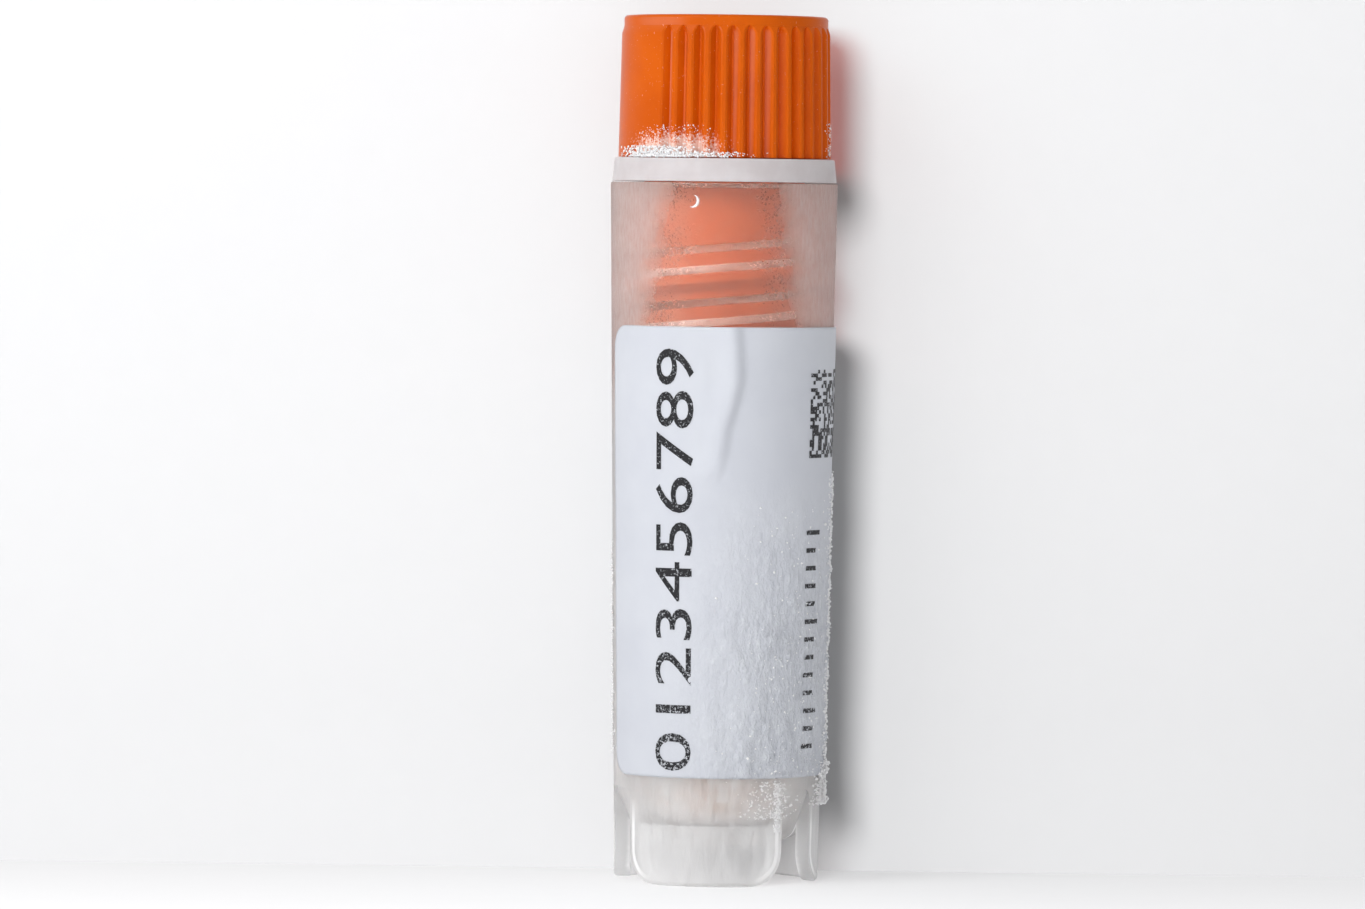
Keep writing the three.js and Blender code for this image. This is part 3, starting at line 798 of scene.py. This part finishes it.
def makeNumbers(material):
    curve = bpy.data.curves.new("numbers", "FONT")
    curve.body = ink["digits"]
    curve.resolution_u = 4
    text = bpy.data.objects.new("numbers", curve)
    bpy.context.collection.objects.link(text)
    graph = bpy.context.evaluated_depsgraph_get()
    bm = bmesh.new()
    bm.from_mesh(bpy.data.meshes.new_from_object(text.evaluated_get(graph)))
    bpy.data.objects.remove(text)
    low = Vector((min(v.co.x for v in bm.verts), min(v.co.y for v in bm.verts)))
    high = Vector((max(v.co.x for v in bm.verts), max(v.co.y for v in bm.verts)))
    for v in bm.verts:
        along = (v.co.x - low.x) / (high.x - low.x)
        up = (v.co.y - low.y) / (high.y - low.y)
        v.co = (ink["baseS"] - up * ink["digitHeight"], lerp(ink["fromZ"], ink["toZ"], along), 0)
    for i in range(1, ink["cuts"]):
        s = ink["baseS"] - ink["digitHeight"] * i / ink["cuts"]
        bmesh.ops.bisect_plane(bm, geom=bm.verts[:] + bm.edges[:] + bm.faces[:], plane_co=(s, 0, 0),
                               plane_no=(1, 0, 0))
    bmesh.ops.reverse_faces(bm, faces=[f for f in bm.faces if f.normal.z < 0])
    layOnLabel(bm)
    finishPiece(newPiece("printedNumbers", bm), "vial", material)


def makeScale(material):
    bm = bmesh.new()
    for i in range(ink["scaleMarks"]):
        z = ink["scaleFromZ"] + i * ink["scaleStep"]
        reach = ink["markReach"][i % ink["longEvery"] == ink["firstLong"]]
        grid = bmesh.ops.create_grid(bm, x_segments=8, y_segments=2, size=0.5)
        bmesh.ops.scale(bm, verts=grid["verts"], vec=(reach, ink["markWidth"], 1))
        bmesh.ops.translate(bm, verts=grid["verts"], vec=(ink["scaleS"] + reach / 2, z, 0))
    layOnLabel(bm)
    finishPiece(newPiece("printedScale", bm), "vial", material)


def makeBlock(material):
    rng = random.Random(ink["seed"])
    cells, size = ink["blockCells"], ink["blockCell"]
    bm = bmesh.new()
    bmesh.ops.create_grid(bm, x_segments=cells, y_segments=cells, size=cells * size / 2)
    middle = (ink["blockS"] + cells * size / 2, ink["blockZ"] + cells * size / 2, 0)
    bmesh.ops.translate(bm, verts=bm.verts, vec=middle)
    bare = [f for f in bm.faces if rng.random() < ink["blockBare"]]
    bmesh.ops.delete(bm, geom=bare, context="FACES")
    layOnLabel(bm)
    finishPiece(newPiece("printedBlock", bm), "vial", material)


def makeInkMaterial():
    # Thermal-transfer ink: a flat black film, pinholed, and greyed where frost lies on it
    m = ink
    material, tree, at = newMaterial("thermal transfer ink")
    xyz = addNode(tree, "SeparateXYZ", {0: at})
    holes = addNode(tree, "TexNoise", {"Vector": at, "Scale": 1 / m["wearSize"], "Detail": 3.0,
                                       "Roughness": 0.7})
    low = addNode(tree, "MapRange", {"Value": xyz.outputs["Z"], **m["lowSpan"]})
    level = addNode(tree, "Math", {"operation": "ADD", 0: holes, 1: low})
    worn = addNode(tree, "MapRange", {"Value": level, **m["wornSpan"]})
    base = addNode(tree, "Mix", {"data_type": "RGBA", 0: worn, 6: hexColor(m["black"]),
                                 7: hexColor(m["rubbed"])})
    shader = addNode(tree, "BsdfPrincipled", {
        "Base Color": base.outputs[2], "IOR": 1.5, "Roughness": 0.5, "Specular IOR Level": 0.3,
    })
    addNode(tree, "OutputMaterial", {"Surface": shader})
    return material


inkMaterial = makeInkMaterial()
makeNumbers(inkMaterial)
makeScale(inkMaterial)
makeBlock(inkMaterial)

# Frozen sample

sample = {
    "gap": 0.13, "top": 19.0, "dome": 0.5,
    "beige": ("#dccabf", "#d2b9ac"), "white": "#ebe6e3", "cloudSize": 1.6,
    "shadeSpan": span(0.3, 0.55), "icySpan": span(0.52, 0.66),
    "bumpRelief": {"Strength": 0.5, "Distance": 0.1 * mm},
}


def makeSample(material):
    floorZ = tube["vesselRise"] + tube["bottomWall"] + sample["gap"]
    knee = tube["floorKnee"] - sample["gap"]
    corners = [
        (0, floorZ, 0),
        (knee / 2, floorZ, 0.8),
        (knee, floorZ + tube["kneeRise"], 0.4),
        (tube["boreBottom"] - sample["gap"], tube["vesselWall"] + tube["floorLift"], 0.6),
        (4.6, sample["top"], 0),
        (3.0, sample["top"] + sample["dome"], 0.8),
        (0, sample["top"] + sample["dome"], 0),
    ]
    bm = spinOutline(corners, 96, closed=False)
    roundRings(bm, corners)
    finishPiece(newPiece("frozenCore", bm), "vial", material, ["frozen_sample"])


def makeSampleMaterial():
    # Frozen culture medium: an opaque pinkish beige, whiter where ice has grown
    m = sample
    material, tree, at = newMaterial("frozen culture medium")
    cloud = addNode(tree, "TexNoise", {"Vector": at, "Scale": 1 / m["cloudSize"], "Detail": 5.0,
                                       "Roughness": 0.6})
    shade = addNode(tree, "MapRange", {"Value": cloud, **m["shadeSpan"]})
    beige = addNode(tree, "Mix", {"data_type": "RGBA", 0: shade, 6: hexColor(m["beige"][1]),
                                  7: hexColor(m["beige"][0])})
    icy = addNode(tree, "MapRange", {"Value": cloud, **m["icySpan"]})
    base = addNode(tree, "Mix", {"data_type": "RGBA", 0: icy, 6: beige.outputs[2], 7: hexColor(m["white"])})
    bump = addNode(tree, "Bump", {"Height": cloud, **m["bumpRelief"]})
    shader = addNode(tree, "BsdfPrincipled", {
        "Base Color": base.outputs[2], "IOR": 1.31, "Roughness": 0.5, "Normal": bump,
        "Subsurface Weight": 0.4, "Subsurface Radius": (1.0, 0.7, 0.6), "Subsurface Scale": 1.5 * mm,
    })
    addNode(tree, "OutputMaterial", {"Surface": shader})
    return material


makeSample(makeSampleMaterial())

# Frost: loose crystals along the edges, each a small rough ball, and a white crescent as a painted highlight
# of a drop

frost = {
    "seed": 21, "batch": 40, "stretch": (0.7, 1.5), "tall": (0.7, 1.9), "sunk": 0.03,
    "white": "#f7f7f7", "cloud": "#ececee",
    # a white crescent as the painted highlight of a drop on the neck
    "dropHighlight": {"azimuth": -16.5, "z": 37.2, "radius": 0.33, "from": (70, -110), "thin": 0.02, "thick": 0.085,
             "balls": 24},
    # azimuth and its spread, heights in mm, how many, sizes in mm, how far they stand off the wall, how
    # much they have settled downwards, and the wall they lie on
    "frostAndDropHighlightOnTube": [
        ((90, 6), (6.0, 22.5), 1600, (0.025, 0.075), 0.1, 1.35, "label"),
        ((86, 8), (4.3, 6.6), 900, (0.03, 0.08), 0.3, 1.35, "label"),
        ((-94, 5), (7, 18.5), 620, (0.03, 0.07), 0.07, 1.35, "tube"),
        ((31, 8), (3.7, 5.8), 260, (0.025, 0.06), 0.02, 1.35, "tube"),
        ((35.5, 1.2), (3.0, 5.7), 150, (0.03, 0.07), 0.03, 1.35, "tube"),
        ((42, 16), (6.2, 21), 240, (0.02, 0.07), 0.0, 1.35, "label"),
    ],
    "frostOnCap": [
        ((-40, 13), (39.6, 40.15), 700, (0.03, 0.08), 0.16, 2, "cap"),
        ((-32, 10), (39.6, 41.3), 300, (0.015, 0.04), 0.0, 1.35, "cap"),
        ((-12, 12), (39.6, 39.85), 220, (0.02, 0.06), 0.08, 1.35, "cap"),
        ((82, 5), (39.6, 41.5), 150, (0.015, 0.045), 0.0, 1.35, "cap"),
    ],
    "cloudNoise": {"Scale": 4.0, "Detail": 2.0},
}


def wallRadius(wall, azimuth, z):
    if wall == "cap":
        return cap["bottomRadius"] - frost["sunk"]
    if wall == "tube":
        return tubeRadius(z)
    s = math.radians(azimuth) * labelMean()
    inside = label["bottom"] < z < label["top"]
    return labelRadius(z) + labelLift(s, z) + (label["thickness"] if inside else 0)


def addCrystal(bm, rng, patch):
    azimuths, (low, high), _, (small, large), stand, settled, wall = patch
    azimuth = rng.gauss(*azimuths)
    z = lerp(low, high, rng.random() ** settled)
    size = rng.triangular(small, large, small)
    reach = wallRadius(wall, azimuth, z) + stand * rng.random() ** 2
    wide, deep, tall = (rng.uniform(*frost[key]) for key in ("stretch", "stretch", "tall"))
    turned = Euler([rng.uniform(0, 3) for _ in range(3)]).to_matrix().to_4x4()
    place = Matrix.Translation(onCylinder(reach, azimuth, z))
    bmesh.ops.create_icosphere(bm, subdivisions=1, radius=size * mm,
                               matrix=place @ turned @ Matrix.Diagonal((wide, deep, tall, 1)))


def addCrystals(bm, rng, patch):
    # small batches, because each operator goes over every vertex of its mesh
    batch = bpy.data.meshes.new("batch")
    count = patch[2]
    for start in range(0, count, frost["batch"]):
        few = bmesh.new()
        for _ in range(min(frost["batch"], count - start)):
            addCrystal(few, rng, patch)
        few.to_mesh(batch)
        few.free()
        bm.from_mesh(batch)
    bpy.data.meshes.remove(batch)


def addDropHighlight(bm):
    # a painted highlight: the bright crescent of a drop on the neck, as white frost balls that overlap and
    # swell towards its middle
    dropHighlight = frost["dropHighlight"]
    for i in range(dropHighlight["balls"]):
        t = (i + 0.5) / dropHighlight["balls"]
        turn = math.radians(lerp(*dropHighlight["from"], t))
        azimuth = dropHighlight["azimuth"] + math.degrees(dropHighlight["radius"] * math.cos(turn) / tube["rimRadius"])
        z = dropHighlight["z"] + dropHighlight["radius"] * math.sin(turn)
        size = lerp(dropHighlight["thin"], dropHighlight["thick"], math.sin(math.pi * t))
        place = Matrix.Translation(onCylinder(tubeRadius(z), azimuth, z))
        bmesh.ops.create_icosphere(bm, subdivisions=2, radius=size * mm, matrix=place)


def makeFrost(material):
    rng = random.Random(frost["seed"])
    for name, body, slotName in (("frostAndDropHighlightOnTube", "vial", "tube_polypropylene"),
                                 ("frostOnCap", "cap", "cap_polypropylene")):
        bm = bmesh.new()
        for patch in frost[name]:
            addCrystals(bm, rng, patch)
        # the tube's piece also holds the drop's painted highlight
        if body == "vial":
            addDropHighlight(bm)
        finishPiece(newPiece(name, bm, 180), body, material)


def makeFrostMaterial():
    # Hoarfrost: packed ice grains, white because light scatters in them, with a faint sparkle
    m = frost
    material, tree, at = newMaterial("hoarfrost")
    cloud = addNode(tree, "TexNoise", {"Vector": at, **m["cloudNoise"]})
    base = addNode(tree, "Mix", {"data_type": "RGBA", 0: cloud, 6: hexColor(m["white"]),
                                 7: hexColor(m["cloud"])})
    shader = addNode(tree, "BsdfPrincipled", {
        "Base Color": base.outputs[2], "IOR": 1.31, "Roughness": 0.4,
    })
    addNode(tree, "OutputMaterial", {"Surface": shader})
    return material


makeFrost(makeFrostMaterial())

# Stage and light

stage = {
    "cardGap": 0.35, "half": 400, "card": "#a0a0a1", "floor": "#d5d5d6",
    "fibreNoise": {"Scale": 0.5, "Detail": 2.0},
    "shadeSpan": span(0, 1, 0.985, 1.0),
    "lowSpan": span(0, 9, 1.03, 1.0),
}
light = {
    "toward": (-0.7, -0.53, 0.48), "base": 0.52, "gain": 0.37, "backdrop": 0.95, "aim": 24,
    "keyPlace": (-200, -200, 200), "keySize": 200, "keyPower": 0.38,
    "cardPlace": (-62, -289, 100), "cardSize": 84, "cardPower": 1.6,
}


def makeStageMaterial(name, color, oneSided):
    # Matt paper; a one-sided card shows only from the front, to the camera and through clear walls
    material, tree, at = newMaterial(name)
    fibre = addNode(tree, "TexNoise", {"Vector": at, **stage["fibreNoise"]})
    shade = addNode(tree, "MapRange", {"Value": fibre, **stage["shadeSpan"]})
    if oneSided:
        # painted light: a little paler towards the floor, lifting the shade there, so that the two meet
        # without a line
        xyz = addNode(tree, "SeparateXYZ", {0: at})
        low = addNode(tree, "MapRange", {"Value": xyz.outputs["Z"], **stage["lowSpan"]})
        shade = addNode(tree, "Math", {"operation": "MULTIPLY", 0: shade, 1: low})
    tint = addNode(tree, "Mix", {"data_type": "RGBA", "blend_type": "MULTIPLY", 0: 1.0,
                                 6: hexColor(color), 7: shade})
    paper = addNode(tree, "BsdfDiffuse", {"Color": tint.outputs[2]})
    if not oneSided:
        addNode(tree, "OutputMaterial", {"Surface": paper})
        return material
    side = addNode(tree, "NewGeometry")
    front = addNode(tree, "Math", {"operation": "SUBTRACT", 0: 1.0, 1: side.outputs["Backfacing"]})
    shown = addNode(tree, "Math", {"operation": "MULTIPLY", 0: seenDirectly(tree), 1: front})
    mix = addNode(tree, "MixShader", {0: shown, 1: addNode(tree, "BsdfTransparent"), 2: paper})
    addNode(tree, "OutputMaterial", {"Surface": mix})
    return material


def makeSheet(name, paperName, oneSided):
    bm = bmesh.new()
    bmesh.ops.create_grid(bm, x_segments=1, y_segments=1, size=stage["half"] * mm)
    if oneSided:
        turnMesh(bm, 90, "X")
        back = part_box("vial_tube")[1].y + stage["cardGap"] * mm
        bmesh.ops.translate(bm, verts=bm.verts, vec=(0, back, 0))
    sheet = newPiece(name, bm)
    sheet.data.materials.append(makeStageMaterial(paperName, stage[name], oneSided))
    return sheet


def makeStage():
    floor = makeSheet("floor", "pale floor paper", False)
    card = makeSheet("card", "pale card", True)
    return floor, card


def makeLamp(name, place, size, power):
    data = bpy.data.lights.new(name, "AREA")
    data.shape = "DISK"
    data.size = size * mm
    data.energy = power
    lamp = bpy.data.objects.new(name, data)
    lamp.location = Vector(place) * mm
    ahead = Vector((0, 0, light["aim"] * mm)) - lamp.location
    lamp.rotation_euler = ahead.to_track_quat("-Z", "Y").to_euler()
    bpy.context.collection.objects.link(lamp)
    return lamp


def makeWorld():
    world = bpy.data.worlds.new("studio")
    bpy.context.scene.world = world
    world.use_nodes = True
    tree = world.node_tree
    tree.nodes.clear()
    # the studio is brighter towards the window side and darker away from it
    place = addNode(tree, "TexCoord")
    toward = addNode(tree, "VectorMath", {"operation": "DOT_PRODUCT", 0: place.outputs["Generated"],
                                          1: light["toward"]})
    dim, bright = light["base"] - light["gain"], light["base"] + light["gain"]
    soft = addNode(tree, "MapRange", {"Value": toward.outputs["Value"], **span(-1, 1, dim, bright)})
    strength = addNode(tree, "Mix", {0: seenDirectly(tree), 2: soft, 3: light["backdrop"]})
    sky = addNode(tree, "Background", {"Color": (1, 1, 1, 1), "Strength": strength})
    addNode(tree, "OutputWorld", {"Surface": sky})


def makeLight(floor, card):
    makeWorld()
    makeLamp("key", light["keyPlace"], light["keySize"], light["keyPower"])
    # a second lamp lights only the paper, so that the shadow beside the vial is crisp and dark
    paperLamp = makeLamp("paperLamp", light["cardPlace"], light["cardSize"], light["cardPower"])
    paper = bpy.data.collections.new("paper")
    paper.objects.link(floor)
    paper.objects.link(card)
    paperLamp.light_linking.receiver_collection = paper


makeLight(*makeStage())
bpy.context.scene.view_settings.view_transform = "Standard"
print("stage and light set")
